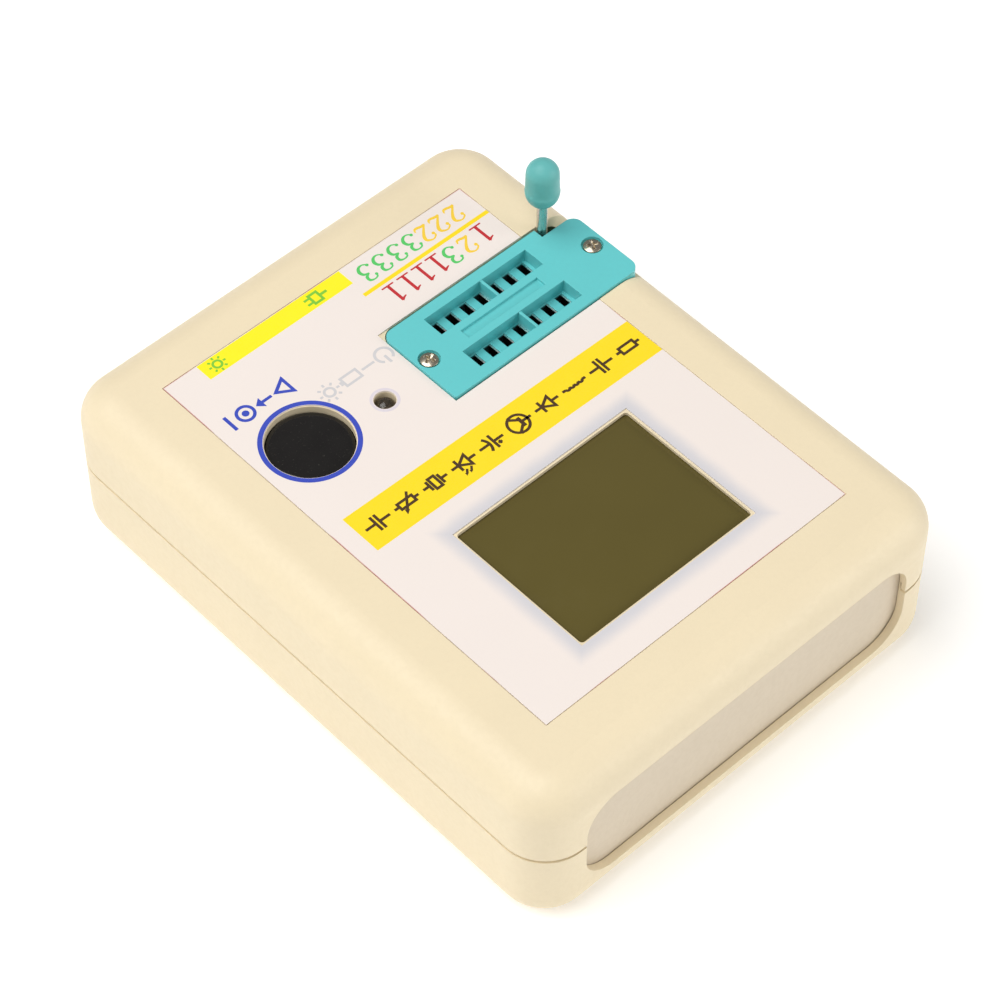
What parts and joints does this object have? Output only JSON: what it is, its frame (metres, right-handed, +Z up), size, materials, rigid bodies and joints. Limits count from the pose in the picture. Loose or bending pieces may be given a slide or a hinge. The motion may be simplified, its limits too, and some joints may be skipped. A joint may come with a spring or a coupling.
{
  "type": "component tester",
  "caption": "Pocket component tester: split cream case with end panels, printed overlay, display window, start button, power lamp and a lever-operated test socket",
  "frame": {"origin": "centre of the case on the surface that it stands on", "axes": "+X is the reading direction of the overlay, +Y points to the display end, +Z up out of the overlay"},
  "size_m": [0.07, 0.09, 0.039],
  "materials": {
    "case": "fine-textured moulded plastic, warm cream",
    "end_panel": "fine-textured moulded plastic, greyer cream",
    "overlay": "printed satin film, slightly pink white",
    "socket": "satin moulded plastic, turquoise",
    "slider": "satin moulded plastic, turquoise",
    "knob": "satin moulded plastic, turquoise",
    "rod": "plated steel wire",
    "screw_nickel": "nickel-plated steel, slightly warm",
    "screw_zinc": "zinc-plated steel",
    "contact": "tinned spring metal",
    "display": "dark olive liquid crystal glass",
    "diffuser": "milky light guide",
    "frame": "black moulded plastic",
    "button": "glossy black",
    "switch": "black moulded plastic",
    "lamp": "clear epoxy",
    "board": "green solder mask",
    "charger_board": "blue solder mask",
    "chip": "black epoxy",
    "metal_can": "drawn metal can",
    "capacitor": "dark sleeved can",
    "battery": "silver-grey pouch film",
    "foam": "white foam tape",
    "lead_red": "soft insulation",
    "lead_black": "soft insulation",
    "connector": "ivory nylon",
    "usb_shell": "stamped steel"
  },
  "bodies": {
    "case": {"top_shell": "case", "bottom_shell": "case", "front_panel": "end_panel", "rear_panel": "end_panel", "case_screws": "screw_zinc", "overlay": "overlay", "main_board": "board", "board_screws": "screw_zinc", "display_glass": "display", "display_diffuser": "diffuser", "display_frame": "frame", "display_pins": "contact", "socket_base": "socket", "socket_cover": "socket", "socket_screws": "screw_nickel", "socket_contacts": "contact", "button_switch": "switch", "power_lamp": "lamp", "microcontroller": "chip", "crystal": "metal_can", "small_chips": "chip", "capacitors": "capacitor", "battery": "battery", "battery_pad": "foam", "battery_leads": "lead_red", "battery_plug": "connector", "battery_header": "connector", "charger_board": "charger_board", "charger_chip": "chip", "charger_leads": "lead_black", "usb_socket": "usb_shell", "charge_lamp": "lamp"},
    "lever": {"lever_rod": "rod", "lever_knob": "knob"},
    "slider": {"socket_slider": "slider"},
    "button": {"button_cap": "button", "button_plunger": "switch"}
  },
  "joints": [
    {"name": "lever_swing", "type": "hinge", "parent": "case", "child": "lever", "pos_m": [-0.0288, -0.0166, 0.022], "axis": [0, -1, 0], "range_deg": [0, 90]},
    {"name": "slider_slide", "type": "slide", "parent": "case", "child": "slider", "axis": [-1, 0, 0], "range_m": [0, 0.0009]},
    {"name": "button_press", "type": "slide", "parent": "case", "child": "button", "axis": [0, 0, -1], "range_m": [0, 0.0004], "stiffness_N_per_m": 4000}
  ],
  "couplings": [
    {"joint": "lever_swing", "follows": "slider_slide", "rad_per_m": 1745}
  ]
}
